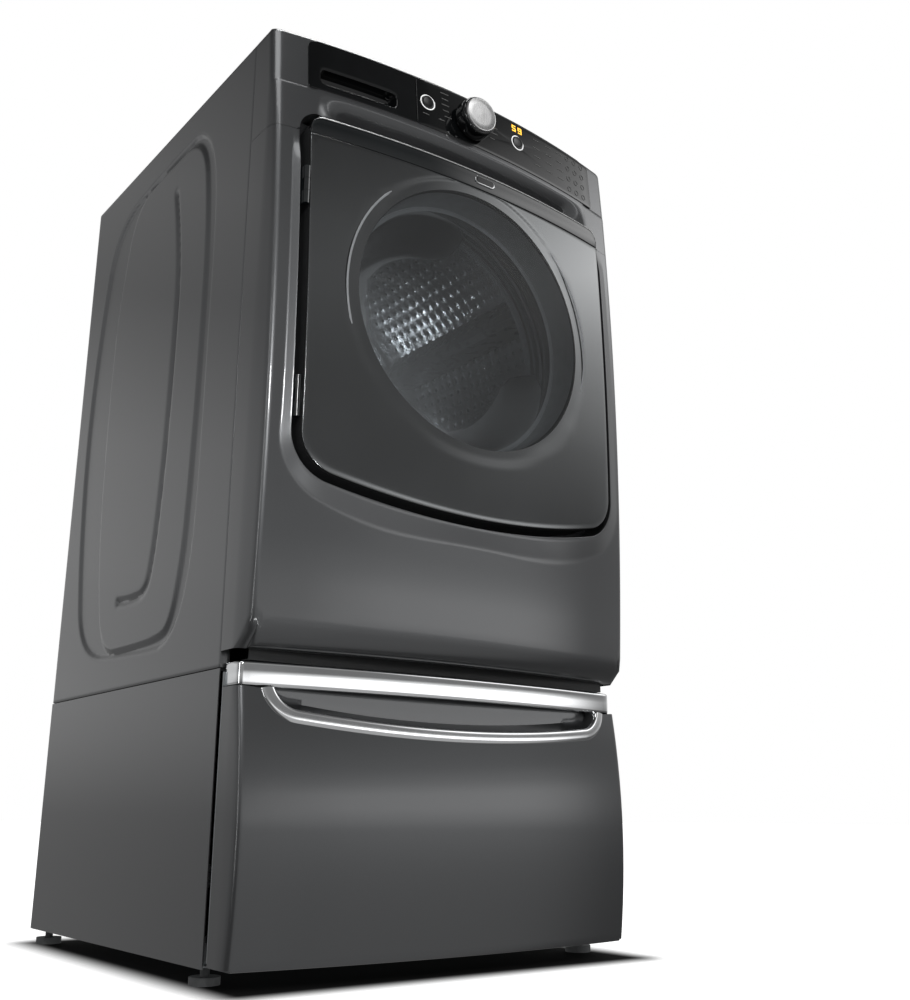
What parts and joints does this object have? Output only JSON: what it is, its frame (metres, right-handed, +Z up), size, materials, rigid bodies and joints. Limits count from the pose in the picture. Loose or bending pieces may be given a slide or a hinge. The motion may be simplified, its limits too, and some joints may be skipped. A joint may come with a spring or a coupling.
{
  "type": "front load washing machine",
  "caption": "Slate grey front load washing machine with a bowed front, tinted hinged door and black control panel, on a drawer pedestal.",
  "frame": {"origin": "on the floor, under the middle of the whole machine's box", "axes": "+Z up, front faces -Y, +X to the right of someone facing the front"},
  "size_m": [0.686, 0.82, 1.359],
  "materials": {
    "body_paint": "metallic gloss, slate grey",
    "zinc_steel": "zinc plated sheet",
    "gloss_black": "high gloss",
    "door_tint": "smoke tinted gloss",
    "clear_glass": "clear",
    "grey_plastic": "moulded",
    "white_plastic": "moulded",
    "circuit": "solder mask",
    "rubber": "matt",
    "bright_steel": "ground",
    "drum_steel": "stainless, polished",
    "cast_alloy": "as cast",
    "motor_case": "satin",
    "cast_weight": "rough",
    "chrome": "polished",
    "brushed_cap": "spun"
  },
  "bodies": {
    "cabinet": {"side_panel_left": "body_paint", "side_panel_right": "body_paint", "rear_panel": "zinc_steel", "rear_cover": "zinc_steel", "top_panel": "body_paint", "base_pan": "zinc_steel", "top_brace": "zinc_steel", "front_panel": "body_paint", "front_bulkhead": "body_paint", "console_fascia": "body_paint", "control_panel": "gloss_black", "control_board": "circuit", "dispenser_housing": "grey_plastic", "inlet_valves": "white_plastic", "door_hinge_base": "zinc_steel", "door_lock": "white_plastic", "door_gasket": "rubber", "suspension_springs": "bright_steel", "damper_cylinders": "motor_case", "drain_pump": "grey_plastic", "sump_hose": "rubber", "drain_tube": "rubber", "cord_inlet": "gloss_black", "cabinet_screws": "bright_steel", "pedestal_panels": "body_paint", "pedestal_base": "zinc_steel", "drawer_rails": "zinc_steel"},
    "tub": {"tub_front": "grey_plastic", "tub_rear": "grey_plastic", "counterweights": "cast_weight", "tub_bearings": "bright_steel", "drive_motor": "motor_case", "drive_belt": "rubber", "water_heater": "bright_steel", "damper_rods": "bright_steel"},
    "drum": {"drum_shell": "drum_steel", "drum_front_ring": "drum_steel", "drum_spider": "cast_alloy", "drum_baffles": "grey_plastic", "drum_pulley": "cast_alloy"},
    "rotor": {"motor_rotor": "bright_steel"},
    "door": {"door_frame": "grey_plastic", "door_panel": "door_tint", "door_handle_strip": "gloss_black", "door_glass": "clear_glass", "door_hinge_leaf": "zinc_steel", "door_strike": "zinc_steel"},
    "dispenser": {"dispenser_front": "gloss_black", "dispenser_tray": "grey_plastic"},
    "knob": {"knob_body": "gloss_black", "knob_cap": "brushed_cap"},
    "power_key": {"power_button": "gloss_black"},
    "start_key": {"start_button": "gloss_black"},
    "drawer": {"drawer_front": "body_paint", "drawer_handle_bar": "chrome", "drawer_box": "zinc_steel"},
    "foot_fl": {"foot_front_left": "rubber"},
    "foot_fr": {"foot_front_right": "rubber"},
    "foot_rl": {"foot_rear_left": "rubber"},
    "foot_rr": {"foot_rear_right": "rubber"}
  },
  "joints": [
    {"name": "tub_bounce", "type": "slide", "parent": "cabinet", "child": "tub", "axis": [0, 0, 1], "range_m": [-0.01, 0.008], "stiffness_N_per_m": 30000, "springref_m": 0.01737, "deforming": ["suspension_springs", "door_gasket", "sump_hose"]},
    {"name": "drum_spin", "type": "hinge", "parent": "tub", "child": "drum", "pos_m": [0, 0.248, 0.948], "axis": [0, -1, 0], "continuous": true},
    {"name": "motor_spin", "type": "hinge", "parent": "tub", "child": "rotor", "pos_m": [0, 0.188, 0.57], "axis": [0, -1, 0], "continuous": true},
    {"name": "door_swing", "type": "hinge", "parent": "cabinet", "child": "door", "pos_m": [-0.296, -0.374, 0.948], "axis": [0, 0, -1], "range_deg": [0, 110]},
    {"name": "dispenser_slide", "type": "slide", "parent": "cabinet", "child": "dispenser", "axis": [0, -1, 0], "range_m": [0, 0.2]},
    {"name": "knob_turn", "type": "hinge", "parent": "cabinet", "child": "knob", "pos_m": [0, -0.382, 1.306], "axis": [0, -1, 0], "continuous": true},
    {"name": "power_press", "type": "slide", "parent": "cabinet", "child": "power_key", "axis": [0, 1, 0], "range_m": [0, 0.0015], "stiffness_N_per_m": 400, "springref_m": -0.001},
    {"name": "start_press", "type": "slide", "parent": "cabinet", "child": "start_key", "axis": [0, 1, 0], "range_m": [0, 0.0015], "stiffness_N_per_m": 400, "springref_m": -0.001},
    {"name": "drawer_slide", "type": "slide", "parent": "cabinet", "child": "drawer", "axis": [0, -1, 0], "range_m": [0, 0.45]},
    {"name": "foot_fl_screw", "type": "slide", "parent": "cabinet", "child": "foot_fl", "axis": [0, 0, -1], "range_m": [0, 0.015]},
    {"name": "foot_fr_screw", "type": "slide", "parent": "cabinet", "child": "foot_fr", "axis": [0, 0, -1], "range_m": [0, 0.015]},
    {"name": "foot_rl_screw", "type": "slide", "parent": "cabinet", "child": "foot_rl", "axis": [0, 0, -1], "range_m": [0, 0.015]},
    {"name": "foot_rr_screw", "type": "slide", "parent": "cabinet", "child": "foot_rr", "axis": [0, 0, -1], "range_m": [0, 0.015]}
  ],
  "couplings": [
    {"joint": "motor_spin", "follows": "drum_spin", "ratio": 7}
  ]
}
